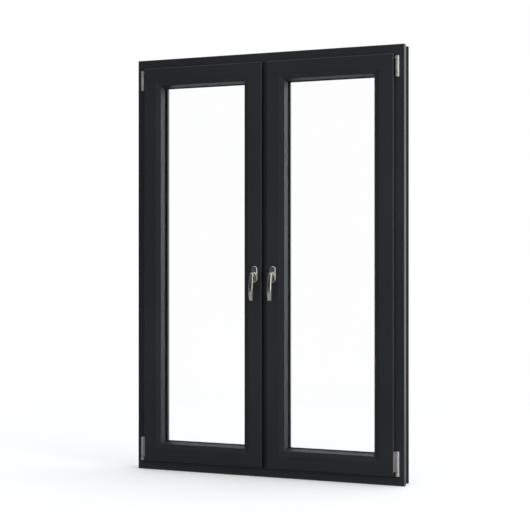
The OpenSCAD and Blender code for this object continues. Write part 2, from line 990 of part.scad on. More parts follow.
module left_gearbox() {
    teeth_back = sash_proud - seal_gap + case_depth - rear_wall;
    color(zinc) difference() {
        block(
            [case_back, case_y, handle_height - case_half],
            [rack_x - tooth_tip - tooth_play, case_y + case_depth, handle_height + case_half]
        );
        at_handle() {
            rod_y(journal_radius, 0, teeth_back - tooth_depth);
            rod_y(tip_radius + case_play, teeth_back - tooth_depth - case_play, teeth_back);
            rod_y(rear_journal_radius, 0, sash_proud + frame_depth);
            for (m = [-1, 1]) translate([0, 0, m * screw_spacing / 2])
                rod_y(screw_radius + run_play, 0, sash_proud - seal_gap + screw_reach);
        }
    }
}

// A slot with round ends in the lock edge, along Z, for a cam
module cam_slot(height) {
    radius = cam_radius + cam_play;
    low = height - rod_travel;
    block(
        [lock_x - groove_ledge - overrun, groove_y - radius, low],
        [lock_x + overrun, groove_y + radius, height]
    );
    for (z = [low, height]) translate([0, groove_y, z])
        rod_x(radius, lock_x - groove_ledge - overrun, lock_x + overrun);
}

module left_faceplate() {
    color(zinc) difference() {
        block(
            [lock_x - groove_ledge, groove_y - groove_width / 2, sash_z + plate_end],
            [lock_x, groove_y + groove_width / 2, sash_z + sash_height - plate_end]
        );
        for (height = cam_heights) cam_slot(height);
    }
}

// Teeth of the rack, along Z towards the pinion
module rack_teeth() {
    lean = tan(pressure);
    foot = (tooth_root + rod_front - rack_x) / 2;
    foot_half = tooth_pitch / 4 + foot * lean - tooth_play / 2;
    tip_half = tooth_pitch / 4 - tooth_tip * lean - tooth_play / 2;
    for (k = [-rack_below : rack_above]) translate([rack_x, (k + 1 / 2) * tooth_pitch])
        polygon([[foot, foot_half], [-tooth_tip, tip_half], [-tooth_tip, -tip_half], [foot, -foot_half]]);
}

module left_drive_rod() {
    low = cam_heights[0] - rod_end;
    high = cam_heights[2] + rod_end;
    rack_low = handle_height - rack_below * tooth_pitch;
    rack_high = handle_height + (rack_above + 1) * tooth_pitch;
    side = groove_y - rod_width / 2;
    color(zinc) union() {
        block([rack_x + tooth_root, side, low], [rod_front, side + rod_width, high]);
        block([rod_back, side, low], [rod_front, side + rod_width, rack_low]);
        block([rod_back, side, rack_high], [rod_front, side + rod_width, high]);
        translate([0, side + rod_width, handle_height]) rotate([90, 0, 0])
            linear_extrude(height = rod_width) rack_teeth();
        for (height = cam_heights) translate([0, groove_y, height])
            rod_x(cam_radius, rod_back, lock_x + cam_reach);
    }
}

// Handle of the left sash

// A plate with round ends that stands up, with a rounded front edge
module pill(width, height, thick, rounding) {
    straight = height - width;
    rotate([90, 0, 0]) {
        translate([0, -straight / 2, 0]) pill_end(width, thick, rounding);
        translate([0, straight / 2, 0]) pill_end(width, thick, rounding);
        translate([0, straight / 2, 0]) rotate([90, 0, 0]) linear_extrude(height = straight)
            for (m = [0, 1]) mirror([m, 0]) pill_half(width, thick, rounding);
    }
}

module pill_half(width, thick, rounding) {
    difference() {
        square([width / 2, thick]);
        if (rounding > 0)
            translate([width / 2, thick]) mirror([1, 0]) mirror([0, 1]) round_cut(rounding);
    }
}

module pill_end(width, thick, rounding) {
    rotate_extrude($fn = round_sides) pill_half(width, thick, rounding);
}

module left_handle_base() {
    margin = 2 * (base_margin + base_play);
    color(zinc) at_handle() difference() {
        pill(rosette_width - margin, rosette_height - margin, base_thick, 0);
        rod_y(neck_radius + run_play, -base_thick - overrun, overrun);
        for (m = [-1, 1]) translate([0, 0, m * screw_spacing / 2]) {
            rod_y(screw_radius + hole_play, -base_thick - overrun, overrun);
            rod_y(screw_head_radius + hole_play, -base_thick - overrun, screw_head - base_thick);
        }
    }
}

module left_handle_rosette() {
    margin = 2 * base_margin;
    color(nickel) at_handle() difference() {
        pill(rosette_width, rosette_height, rosette_thick, rosette_round);
        translate([0, overrun, 0])
            pill(rosette_width - margin, rosette_height - margin, rosette_thick - rosette_front + overrun, 0);
        rod_y(neck_radius + run_play, -rosette_thick - overrun, overrun);
    }
}

module left_handle_screws() {
    color(zinc) at_handle() for (m = [-1, 1]) translate([0, 0, m * screw_spacing / 2]) union() {
        rod_y(screw_head_radius, -base_thick, screw_head - base_thick);
        rod_y(screw_radius, -base_thick, sash_proud - seal_gap + screw_reach);
    }
}

// Lever: rings of points down a bowed line
function lever_share(i) = i / lever_steps;
function lever_drop(t) = lever_above - t * (lever_above + lever_length);
function lever_out(t) = lever_off + (lever_tip_off - lever_off) * t + lever_bow * sin(180 * t);
function lever_half_width(t) = (lever_width + (lever_tip - lever_width) * t + lever_swell * sin(180 * t)) / 2;
function lever_half_thick(t) = (lever_thick + (lever_tip_thick - lever_thick) * t) / 2;
function squared(v) = sign(v) * pow(abs(v), lever_square_share);
// Rounding of the two ends
function lever_close(t) = let (left = min(t, 1 - t) * (lever_above + lever_length))
    left >= lever_end ? 0 : lever_end - sqrt(lever_end * lever_end - pow(lever_end - left, 2));
function lever_ring_at(t) = [
    for (j = [0 : lever_ring - 1])
        let (angle = 360 * j / lever_ring)
        [
            (lever_half_width(t) - lever_close(t)) * squared(cos(angle)),
            (lever_half_thick(t) - lever_close(t)) * squared(sin(angle)) - lever_out(t),
            lever_drop(t)
        ]
];
lever_end_share = lever_end / (lever_above + lever_length);
lever_stations = [
    for (i = [0 : lever_end_steps - 1]) lever_end_share * pow(i / lever_end_steps, 2),
    for (i = [0 : lever_steps]) lever_end_share + (1 - 2 * lever_end_share) * lever_share(i),
    for (i = [lever_end_steps - 1 : -1 : 0]) 1 - lever_end_share * pow(i / lever_end_steps, 2)
];
lever_rings = len(lever_stations);
lever_points = [for (t = lever_stations) each lever_ring_at(t)];
lever_faces = [
    [for (j = [lever_ring - 1 : -1 : 0]) j],
    [for (j = [0 : lever_ring - 1]) (lever_rings - 1) * lever_ring + j],
    for (i = [0 : lever_rings - 2]) for (j = [0 : lever_ring - 1])
        let (k = (j + 1) % lever_ring)
        each [
            [i * lever_ring + j, i * lever_ring + k, (i + 1) * lever_ring + k],
            [i * lever_ring + j, (i + 1) * lever_ring + k, (i + 1) * lever_ring + j]
        ]
];

module left_handle_lever() {
    socket_half = spindle_width / 2 + run_play;
    color(nickel) at_handle() difference() {
        union() {
            polyhedron(points = lever_points, faces = lever_faces);
            rod_y(neck_radius, -lever_off, -neck_foot);
        }
        block(
            [-socket_half, -socket_depth - neck_foot - run_play, -socket_half],
            [socket_half, 0, socket_half]
        );
    }
}

// Right sash, the mirror of the left one

module right_sash_top_rail() {
    flip() left_sash_top_rail();
}
module right_sash_bottom_rail() {
    flip() left_sash_bottom_rail();
}
module right_sash_hinge_stile() {
    flip() left_sash_hinge_stile();
}
module right_sash_lock_stile() {
    flip() left_sash_lock_stile();
}
module right_sash_steels() {
    flip() left_sash_steels();
}
module right_glazing_beads() {
    flip() left_glazing_beads();
}
module right_glass_panes() {
    flip() left_glass_panes();
}
module right_spacer_bar() {
    flip() left_spacer_bar();
}
module right_glazing_seals() {
    flip() left_glazing_seals();
}
module right_setting_blocks() {
    flip() left_setting_blocks();
}
module right_sash_seal() {
    flip() left_sash_seal();
}
module right_sash_band() {
    flip() left_sash_band();
}
module right_tilt_link() {
    flip() left_tilt_link();
}
module right_tilt_pin() {
    flip() left_tilt_pin();
}
module right_stay_arm() {
    flip() left_stay_arm();
}
module right_stay_rail() {
    flip() left_stay_rail();
}
module right_gearbox() {
    flip() left_gearbox();
}
module right_faceplate() {
    flip() left_faceplate();
}
module right_drive_rod() {
    flip() left_drive_rod();
}
module right_spindle() {
    flip() left_spindle();
}
module right_handle_lever() {
    flip() left_handle_lever();
}
module right_handle_base() {
    flip() left_handle_base();
}
module right_handle_rosette() {
    flip() left_handle_rosette();
}
module right_handle_screws() {
    flip() left_handle_screws();
}

frame_head();
frame_sill();
frame_left_jamb();
frame_right_jamb();
mullion();
frame_steels();
frame_seals();
keeps();
drain_caps();
corner_bearings();
stay_bearings();
stay_pins();
left_sash_top_rail();
left_sash_bottom_rail();
left_sash_hinge_stile();
left_sash_lock_stile();
left_sash_steels();
left_glazing_beads();
left_glass_panes();
left_spacer_bar();
left_glazing_seals();
left_setting_blocks();
left_sash_seal();
left_sash_band();
left_tilt_link();
left_tilt_pin();
left_stay_arm();
left_stay_rail();
left_gearbox();
left_faceplate();
left_drive_rod();
left_spindle();
left_handle_lever();
left_handle_base();
left_handle_rosette();
left_handle_screws();
right_sash_top_rail();
right_sash_bottom_rail();
right_sash_hinge_stile();
right_sash_lock_stile();
right_sash_steels();
right_glazing_beads();
right_glass_panes();
right_spacer_bar();
right_glazing_seals();
right_setting_blocks();
right_sash_seal();
right_sash_band();
right_tilt_link();
right_tilt_pin();
right_stay_arm();
right_stay_rail();
right_gearbox();
right_faceplate();
right_drive_rod();
right_spindle();
right_handle_lever();
right_handle_base();
right_handle_rosette();
right_handle_screws();
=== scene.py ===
import math

import bmesh
import bpy
from mathutils import Matrix, Vector


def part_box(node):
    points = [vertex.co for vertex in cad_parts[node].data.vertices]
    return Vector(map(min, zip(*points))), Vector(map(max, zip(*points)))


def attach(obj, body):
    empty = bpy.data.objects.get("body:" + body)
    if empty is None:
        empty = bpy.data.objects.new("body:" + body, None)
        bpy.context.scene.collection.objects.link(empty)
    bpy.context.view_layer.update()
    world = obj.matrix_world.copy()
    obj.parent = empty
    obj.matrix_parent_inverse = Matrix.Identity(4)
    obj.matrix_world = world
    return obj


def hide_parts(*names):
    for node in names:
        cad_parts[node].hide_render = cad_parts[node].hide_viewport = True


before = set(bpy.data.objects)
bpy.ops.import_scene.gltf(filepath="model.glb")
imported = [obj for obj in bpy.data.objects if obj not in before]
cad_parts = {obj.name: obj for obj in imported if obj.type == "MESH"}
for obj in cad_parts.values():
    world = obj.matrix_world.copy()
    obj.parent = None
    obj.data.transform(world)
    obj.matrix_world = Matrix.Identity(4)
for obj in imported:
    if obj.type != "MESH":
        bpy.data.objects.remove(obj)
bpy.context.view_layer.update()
scene = bpy.context.scene
scene.view_settings.view_transform = "Standard"
sides = {"left": -1, "right": 1}
print("frame loaded:", len(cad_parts), "nodes")


class Wire:  # an output socket, so that shader maths reads as plain sums
    def __init__(self, finish, socket):
        self.finish = finish
        self.socket = socket

    def reckon(self, operation, *values):
        return self.finish.add("ShaderNodeMath", {"operation": operation}, dict(enumerate(values)))[0]

    def __add__(self, other):
        return self.reckon("ADD", self, other)

    def __radd__(self, other):
        return self.reckon("ADD", other, self)

    def __sub__(self, other):
        return self.reckon("SUBTRACT", self, other)

    def __rsub__(self, other):
        return self.reckon("SUBTRACT", other, self)

    def __mul__(self, other):
        return self.reckon("MULTIPLY", self, other)

    def __rmul__(self, other):
        return self.reckon("MULTIPLY", other, self)

    def __abs__(self):
        return self.reckon("ABSOLUTE", self)

    def most(self, other):
        return self.reckon("MAXIMUM", self, other)

    def ease(self, low, high):  # 0 at low, 1 at high, smooth between
        return self.finish.add("ShaderNodeMapRange", {"interpolation_type": "SMOOTHSTEP"},
                               {"Value": self, "From Min": low, "From Max": high})["Result"]


class Step:  # a node that was just added; its outputs are read by name or place
    def __init__(self, finish, node):
        self.finish = finish
        self.node = node

    def __getitem__(self, key):
        return Wire(self.finish, self.node.outputs[key])


class Finish:  # a node tree that grows one step at a time
    def __init__(self, tree):
        self.tree = tree
        tree.nodes.clear()

    def add(self, kind, settings, sockets):
        node = self.tree.nodes.new(kind)
        for key, value in settings.items():
            setattr(node, key, value)
        for key, value in sockets.items():
            if isinstance(value, Wire):
                self.tree.links.new(value.socket, node.inputs[key])
            else:
                node.inputs[key].default_value = value
        return Step(self, node)

    def noise(self, where, scale, detail=2.0, rough=0.5):
        return self.add("ShaderNodeTexNoise", {}, {
            "Vector": where, "Scale": scale, "Detail": detail, "Roughness": rough})[0]

    def blendColours(self, share, first, second):
        return self.add("ShaderNodeMix", {"data_type": "RGBA"}, {0: share, 6: first, 7: second})[2]

    def bump(self, height, distance, strength=1.0):
        return self.add("ShaderNodeBump", {}, {
            "Height": height, "Distance": distance, "Strength": strength})[0]

    def objectPlace(self):
        return self.add("ShaderNodeTexCoord", {}, {})["Object"]

    def stretched(self, where, scale):
        return self.add("ShaderNodeMapping", {}, {"Vector": where, "Scale": scale})[0]

    def show(self, shader, output="ShaderNodeOutputMaterial"):
        self.add(output, {}, {"Surface": shader})


def newFinish(name):
    material = bpy.data.materials.new(name)
    material.use_nodes = True
    return material, Finish(material.node_tree)


plasticLook = {
    "dark": (0.0222, 0.0244, 0.0293, 1), "light": (0.0268, 0.0294, 0.0352, 1),
    "cloudScale": 2.2, "grainScale": 1500.0, "hairScale": 6.0, "hairStretch": (900, 900, 900),
    "grainTint": 0.25, "grainHeight": 0.6, "hairHeight": 0.4,
    "seamHalf": 0.0009, "seamTone": (0.012, 0.013, 0.015, 1), "seamTint": 0.6, "seamDepth": 4.0,
    "roughness": 0.36, "grainShine": 0.12, "cloudShine": 0.06, "bending": 1.55,
    "bumpDepth": 0.00004, "bumpShare": 0.4,
}


def seamShare(finish, where, middle, half, halfWidth):
    # 1 on the 45 degree weld lines of a mitred ring, 0 away from them
    place = finish.add("ShaderNodeSeparateXYZ", {}, {"Vector": where})
    across = half[0] - abs(abs(place["X"]) - middle[0])
    along = half[1] - abs(place["Z"] - middle[1])
    return 1 - abs(across - along).ease(0.0, halfWidth)


def plasticFinish(name, middle=None, half=None):
    look = plasticLook
    material, finish = newFinish(name)
    where = finish.objectPlace()
    cloud = finish.noise(where, look["cloudScale"], 3.0)
    grain = finish.noise(where, look["grainScale"], 3.0, 0.6)
    hair = finish.noise(finish.stretched(where, look["hairStretch"]), look["hairScale"], 1.0)
    tone = finish.blendColours(cloud.ease(0.3, 0.7), look["dark"], look["light"])
    tone = finish.blendColours(grain.ease(0.35, 0.75) * look["grainTint"], tone, look["light"])
    height = grain * look["grainHeight"] + hair * look["hairHeight"]
    if middle:
        seam = seamShare(finish, where, middle, half, look["seamHalf"])
        tone = finish.blendColours(seam * look["seamTint"], tone, look["seamTone"])
        height = height - seam * look["seamDepth"]
    roughness = look["roughness"] + (grain - 0.5) * look["grainShine"]
    shade = finish.add("ShaderNodeBsdfPrincipled", {}, {
        "Base Color": tone,
        "Roughness": roughness + (cloud - 0.5) * look["cloudShine"],
        "IOR": look["bending"],
        "Normal": finish.bump(height, look["bumpDepth"], look["bumpShare"]),
    })
    finish.show(shade[0])
    return material


metalLook = {
    "nickel": {"bright": (0.79, 0.752, 0.685, 1), "dull": (0.72, 0.683, 0.62, 1), "roughness": 0.25,
               "lines": (240, 240, 30), "lineDepth": 0.000004, "metal": 1.0},
    "hinge": {"bright": (0.53, 0.515, 0.48, 1), "dull": (0.475, 0.46, 0.43, 1), "roughness": 0.36,
              "lines": (240, 240, 30), "lineDepth": 0.000004, "metal": 0.4},
    "zinc": {"bright": (0.62, 0.64, 0.66, 1), "dull": (0.46, 0.48, 0.51, 1), "roughness": 0.36,
             "lines": (220, 220, 40), "lineDepth": 0.00001, "metal": 1.0},
}
metalGrain = {"cloudScale": 45.0, "lineScale": 5.0, "lineShine": 0.10, "cloudShine": 0.06, "bumpShare": 0.3}


def metalFinish(name, look):
    material, finish = newFinish(name)
    where = finish.objectPlace()
    grain = metalGrain
    cloud = finish.noise(where, grain["cloudScale"], 3.0)
    lines = finish.noise(finish.stretched(where, look["lines"]), grain["lineScale"], 3.0, 0.6)
    tone = finish.blendColours(cloud.ease(0.3, 0.8), look["bright"], look["dull"])
    roughness = look["roughness"] + (lines - 0.5) * grain["lineShine"]
    shade = finish.add("ShaderNodeBsdfPrincipled", {}, {
        "Base Color": tone,
        "Metallic": look["metal"],
        "Roughness": roughness + (cloud - 0.5) * grain["cloudShine"],
        "Normal": finish.bump(lines, look["lineDepth"], grain["bumpShare"]),
    })
    finish.show(shade[0])
    return material


softLook = {
    "rubber": {"dark": (0.029, 0.030, 0.032, 1), "light": (0.043, 0.044, 0.046, 1),
               "roughness": 0.72, "gloss": 0.2},
    "spacer": {"dark": (0.020, 0.020, 0.022, 1), "light": (0.045, 0.045, 0.048, 1),
               "roughness": 0.45, "gloss": 0.4},
    "block": {"dark": (0.08, 0.085, 0.09, 1), "light": (0.13, 0.135, 0.14, 1),
              "roughness": 0.5, "gloss": 0.5},
}
softGrain = {"cloudScale": 30.0, "scale": 2200.0, "shine": 0.15, "bumpDepth": 0.00008, "bumpShare": 0.5}


def mouldedFinish(name, look):
    material, finish = newFinish(name)
    where = finish.objectPlace()
    cloud = finish.noise(where, softGrain["cloudScale"], 4.0)
    grain = finish.noise(where, softGrain["scale"], 2.0)
    shade = finish.add("ShaderNodeBsdfPrincipled", {}, {
        "Base Color": finish.blendColours(cloud.ease(0.3, 0.7), look["dark"], look["light"]),
        "Roughness": look["roughness"] + (grain - 0.5) * softGrain["shine"],
        "Specular IOR Level": look["gloss"],
        "Normal": finish.bump(grain, softGrain["bumpDepth"], softGrain["bumpShare"]),
    })
    finish.show(shade[0])
    return material


glassLook = {"straight": 0.004, "grazing": 0.55, "shade": 0.07, "mirror": (0.92, 0.96, 0.95, 1),
             "through": (0.998, 1.0, 0.999, 1), "filmScale": 14.0, "clean": 0.015, "smear": 0.03}


def glassFinish(name):
    look = glassLook
    material, finish = newFinish(name)
    where = finish.objectPlace()
    film = finish.noise(where, look["filmScale"], 4.0)
    facing = finish.add("ShaderNodeLayerWeight", {}, {"Blend": 0.5})["Facing"]
    path = finish.add("ShaderNodeLightPath", {}, {})
    lit = path["Is Shadow Ray"].most(path["Is Diffuse Ray"])  # the panes shade the floor a little
    share = look["straight"] + (facing * facing * facing * facing) * look["grazing"] + lit * look["shade"]
    mirror = finish.add("ShaderNodeBsdfPrincipled", {}, {
        "Base Color": look["mirror"], "Metallic": 1.0,
        "Roughness": look["clean"] + film.ease(0.5, 0.8) * look["smear"]})
    clear = finish.add("ShaderNodeBsdfTransparent", {}, {"Color": look["through"]})
    finish.show(finish.add("ShaderNodeMixShader", {}, {0: share, 1: clear[0], 2: mirror[0]})[0])
    return material


def ringOf(low, high):
    # middle and half sizes in X and Z of a mitred ring, for its weld lines
    middle = (abs(low.x + high.x) / 2, (low.z + high.z) / 2)
    return middle, ((high.x - low.x) / 2, (high.z - low.z) / 2)


headLow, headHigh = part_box("frame_head")
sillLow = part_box("frame_sill")[0]
railLow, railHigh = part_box("left_sash_top_rail")
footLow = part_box("left_sash_bottom_rail")[0]
frameRing = ringOf(Vector((headLow.x, 0, sillLow.z)), Vector((headHigh.x, 0, headHigh.z)))
sashRing = ringOf(Vector((railLow.x, 0, footLow.z)), Vector((railHigh.x, 0, railHigh.z)))

finishes = {
    "frame": plasticFinish("anthraciteFrame", *frameRing),
    "sash": plasticFinish("anthraciteSash", *sashRing),
    "plain": plasticFinish("anthracitePlain"),
    "nickel": metalFinish("satinNickel", metalLook["nickel"]),
    "hinge": metalFinish("hingeNickel", metalLook["hinge"]),
    "zinc": metalFinish("zincSteel", metalLook["zinc"]),
    "rubber": mouldedFinish("sealRubber", softLook["rubber"]),
    "spacer": mouldedFinish("spacerBlack", softLook["spacer"]),
    "block": mouldedFinish("blockPlastic", softLook["block"]),
    "glass": glassFinish("clearGlass"),
}

nodeFinish = {
    "frame_head": "frame", "frame_sill": "frame", "frame_left_jamb": "frame", "frame_right_jamb": "frame",
    "mullion": "plain", "drain_caps": "plain", "frame_steels": "zinc", "frame_seals": "rubber",
    "keeps": "zinc", "corner_bearings": "hinge", "stay_bearings": "hinge", "stay_pins": "hinge",
    "sash_top_rail": "sash", "sash_bottom_rail": "sash", "sash_hinge_stile": "sash",
    "sash_lock_stile": "sash", "glazing_beads": "sash", "sash_steels": "zinc", "glass_panes": "glass",
    "spacer_bar": "spacer", "glazing_seals": "rubber", "setting_blocks": "block", "sash_seal": "rubber",
    "sash_band": "hinge", "tilt_link": "hinge", "tilt_pin": "zinc", "stay_arm": "hinge",
    "stay_rail": "zinc", "gearbox": "zinc", "faceplate": "zinc", "drive_rod": "zinc", "spindle": "zinc",
    "handle_lever": "nickel", "handle_base": "block", "handle_rosette": "nickel", "handle_screws": "zinc",
}


def dress(piece, finish):
    piece.data.materials.clear()
    piece.data.materials.append(finishes[finish])


for name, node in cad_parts.items():
    key = name.split("_", 1)[1] if name.split("_")[0] in sides else name
    dress(node, nodeFinish[key])
print("finishes on:", len(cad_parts), "nodes")


leverSize = {
    "length": 0.110, "above": 0.007, "off": 0.034, "tipOff": 0.045, "bow": 0.010,
    "topWidth": 0.0145, "swell": 0.0035, "tipWidth": 0.0155, "topThick": 0.0115, "tipThick": 0.0105,
    "cuts": 19, "edgeRound": 0.0040, "topRound": 0.0030, "tipRound": 0.0012,
    "edgeSteps": 4, "endSteps": 3, "curveSteps": 6,
    "neckRadius": 0.0064, "neckFlare": 0.0070, "neckFoot": 0.004, "neckSink": 0.003, "flareFrom": 0.76,
    "turns": 48, "collar": 0.0094, "collarAt": 0.0103, "collarEdge": 0.0006, "collarRun": 0.0060,
}
rosetteSize = {
    "width": 0.028, "height": 0.070, "thick": 0.010, "round": 0.0042, "rimSteps": 5, "crown": 0.0001,
    "inset": 0.0022, "bore": 0.0069, "turns": 64, "sharpOver": 0.7,
}


def finishedPiece(name, form, body, finish, smooth=False):
    bmesh.ops.remove_doubles(form, verts=form.verts, dist=1e-6)
    bmesh.ops.recalc_face_normals(form, faces=form.faces)
    mesh = bpy.data.meshes.new(name)
    form.to_mesh(mesh)
    form.free()
    mesh.polygons.foreach_set("use_smooth", [smooth] * len(mesh.polygons))
    piece = bpy.data.objects.new(name, mesh)
    scene.collection.objects.link(piece)
    mesh.materials.append(finishes[finish])
    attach(piece, body)
    return piece


def evenNormals(piece):
    even = piece.modifiers.new("evenNormals", "WEIGHTED_NORMAL")
    even.keep_sharp = True
    even.weight = 80


def joinForm(form, extra):
    # the extra form ends up as loose geometry in the first one
    spare = bpy.data.meshes.new("spare")
    extra.to_mesh(spare)
    extra.free()
    form.from_mesh(spare)
    bpy.data.meshes.remove(spare)


def roundEdges(form, edges, radius, steps):
    bmesh.ops.bevel(form, geom=edges, offset=radius, offset_type="OFFSET", segments=steps,
                    profile=0.5, affect="EDGES", material=-1, clamp_overlap=True)


def leverForm():
    size = leverSize
    form = bmesh.new()
    bmesh.ops.create_cube(form, size=1.0)
    rise = [e for e in form.edges if abs(e.verts[0].co.z - e.verts[1].co.z) > 0.5]
    bmesh.ops.subdivide_edges(form, edges=rise, cuts=size["cuts"], use_grid_fill=True)
    corners = [e for e in form.edges if all(abs(v.co.x) > 0.49 and abs(v.co.y) > 0.49 for v in e.verts)
               and abs(e.verts[0].co.z - e.verts[1].co.z) > 1e-4]
    full = size["above"] + size["length"]
    for v in form.verts:
        t = 0.5 - v.co.z
        arch = math.sin(math.pi * t)
        width = size["topWidth"] + (size["tipWidth"] - size["topWidth"]) * t + size["swell"] * arch
        thick = size["topThick"] + (size["tipThick"] - size["topThick"]) * t
        out = size["off"] + (size["tipOff"] - size["off"]) * t + size["bow"] * arch
        v.co = Vector((v.co.x * width, v.co.y * thick - out, size["above"] - t * full))
    roundEdges(form, corners, size["edgeRound"], size["edgeSteps"])
    for level, roundness in ((size["above"], size["topRound"]), (-size["length"], size["tipRound"])):
        rim = [e for e in form.edges if all(abs(v.co.z - level) < 1e-5 for v in e.verts)
               and any(abs(f.normal.z) < 0.5 for f in e.link_faces)]
        roundEdges(form, rim, roundness, size["endSteps"])
    neck = bmesh.new()
    reach = size["off"] - size["topThick"] / 2 + size["neckSink"]
    steps = size["curveSteps"]
    outline = [(size["neckRadius"], -size["neckFoot"]), (size["neckRadius"], -size["collarAt"])]
    outline.append((size["collar"], -size["collarAt"]))
    for k in range(steps + 1):  # the collar runs out into the neck in a hollow curve
        angle = math.pi / 2 * k / steps
        outline.append((size["collar"] - (size["collar"] - size["neckRadius"]) * math.sin(angle),
                        -size["collarAt"] - size["collarEdge"] - size["collarRun"] * (1 - math.cos(angle))))
    for k in range(1, steps + 1):  # and the neck flares into the lever
        angle = math.pi / 2 * k / steps
        flare = (size["neckFlare"] - size["neckRadius"]) * (1 - math.cos(angle))
        outline.append((size["neckRadius"] + flare,
                        -reach * (size["flareFrom"] + (1 - size["flareFrom"]) * math.sin(angle))))
    line = [neck.verts.new((r, y, 0)) for r, y in outline]
    for a, b in zip(line, line[1:]):
        neck.edges.new((a, b))
    bmesh.ops.spin(neck, geom=neck.verts[:] + neck.edges[:], cent=(0, 0, 0), axis=(0, 1, 0),
                   dvec=(0, 0, 0), angle=math.tau, steps=size["turns"], use_merge=True)
    bmesh.ops.holes_fill(neck, edges=[e for e in neck.edges if e.is_boundary])
    joinForm(form, neck)
    return form


def addOval(form, radius, stretch):
    # a ring of edges, drawn out to an oval by the stretch
    turns = rosetteSize["turns"]
    ring = bmesh.ops.create_circle(form, cap_ends=False, radius=radius, segments=turns)["verts"]
    for v in ring:
        v.co.y += stretch if v.co.y > 1e-6 else -stretch
    return [e for e in form.edges if e.verts[0] in ring]


def rosetteForm():
    size = rosetteSize
    form = bmesh.new()
    stretch = (size["height"] - size["width"]) / 2
    flatEdge = size["width"] / 2 - size["round"] - size["inset"]
    outer = addOval(form, size["width"] / 2, stretch)
    raised = addOval(form, flatEdge, stretch)
    bore = addOval(form, size["bore"], 0.0)
    bmesh.ops.bridge_loops(form, edges=outer + raised)
    bmesh.ops.bridge_loops(form, edges=raised + bore)
    bmesh.ops.rotate(form, verts=form.verts, cent=(0, 0, 0), matrix=Matrix.Rotation(math.pi / 2, 3, "X"))
    front = bmesh.ops.extrude_face_region(form, geom=form.faces[:])["geom"]
    front = [g for g in front if isinstance(g, bmesh.types.BMVert)]
    bmesh.ops.translate(form, verts=front, vec=(0, -size["thick"] + size["crown"], 0))
    bmesh.ops.recalc_face_normals(form, faces=form.faces)
    # what lies further from the oval's spine than the flat is the rim
    rim = [v for v in front if math.hypot(v.co.x, max(abs(v.co.z) - stretch, 0)) > flatEdge + 1e-4]
    flat = [v for v in front if v not in rim]
    rimEdges = [e for e in form.edges if all(v in rim for v in e.verts)]
    roundEdges(form, rimEdges, size["round"], size["rimSteps"])
    bmesh.ops.translate(form, verts=flat, vec=(0, -size["crown"], 0))
    for e in form.edges:
        e.smooth = e.calc_face_angle() < size["sharpOver"]
    return form


for side in sides:
    low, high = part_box(f"{side}_handle_rosette")
    axisPoint = Vector(((low.x + high.x) / 2, high.y, (low.z + high.z) / 2))
    for name, make, node, body in (("Lever", leverForm, "handle_lever", "handle"),
                                   ("Rosette", rosetteForm, "handle_rosette", "sash")):
        form = make()
        bmesh.ops.translate(form, verts=form.verts, vec=axisPoint)
        piece = finishedPiece(side + name, form, f"{side}_{body}", "nickel", smooth=True)
        evenNormals(piece)
        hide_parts(f"{side}_{node}")
print("handles made")

screwSize = {
    "radius": 0.0036, "taper": 0.8, "height": 0.0008, "sunk": 0.0002, "sides": 12,
    "rim": 0.0015, "pinch": 0.68, "deep": 0.0007,
}
plateScrews = {"shares": (0.03, 0.22, 0.36, 0.55, 0.72, 0.82, 0.97)}
keepScrews = {
    "camShares": (0.12, 0.62, 0.88), "below": 0.016, "above": 0.015, "fromFront": 0.0125, "face": 0.0215,
}


def addScrew(form, place, outwards):
    # a low head with a six-point socket, its axis along X
    size = screwSize
    screw = bmesh.new()
    bmesh.ops.create_cone(screw, cap_ends=True, segments=size["sides"], radius1=size["radius"],
                          radius2=size["radius"] * size["taper"], depth=size["height"])
    top = max(screw.faces, key=lambda f: f.calc_center_median().z)
    bmesh.ops.inset_region(screw, faces=[top], thickness=size["rim"], use_even_offset=True)
    top = max(screw.faces, key=lambda f: (round(f.calc_center_median().z, 6), -f.calc_area()))
    for v in list(top.verts)[::2]:
        v.co.x *= size["pinch"]
        v.co.y *= size["pinch"]
    floorFace = bmesh.ops.extrude_discrete_faces(screw, faces=[top])["faces"][0]
    bmesh.ops.translate(screw, verts=floorFace.verts, vec=(0, 0, -size["deep"]))
    bmesh.ops.translate(screw, verts=screw.verts, vec=(0, 0, size["height"] / 2 - size["sunk"]))
    turn = Matrix.Rotation(outwards * math.pi / 2, 3, "Y")
    bmesh.ops.rotate(screw, verts=screw.verts, cent=(0, 0, 0), matrix=turn)
    bmesh.ops.translate(screw, verts=screw.verts, vec=place)
    joinForm(form, screw)


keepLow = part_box("keeps")[0]
keepForm = bmesh.new()
for side, sign in sides.items():
    low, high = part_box(f"{side}_faceplate")
    plateForm = bmesh.new()
    face = high.x if sign < 0 else low.x
    for share in plateScrews["shares"]:
        addScrew(plateForm, Vector((face, (low.y + high.y) / 2, low.z + share * (high.z - low.z))), -sign)
    finishedPiece(side + "PlateScrews", plateForm, f"{side}_sash", "zinc")
    for share in keepScrews["camShares"]:
        height = footLow.z + share * (railHigh.z - footLow.z)
        for step in (-keepScrews["below"], keepScrews["above"]):
            depth = keepLow.y + keepScrews["fromFront"]
            addScrew(keepForm, Vector((sign * keepScrews["face"], depth, height + step)), sign)
finishedPiece("keepScrewHeads", keepForm, "frame", "zinc")
print("screws made")

lipSize = {
    "foot": 0.001, "nose": 0.0006, "bend": (0.0012, 0.0010), "reach": 0.0015, "set": 0.0003,
    "offGlass": 0.0001, "ringWidth": 0.006, "start": 0.01,
}


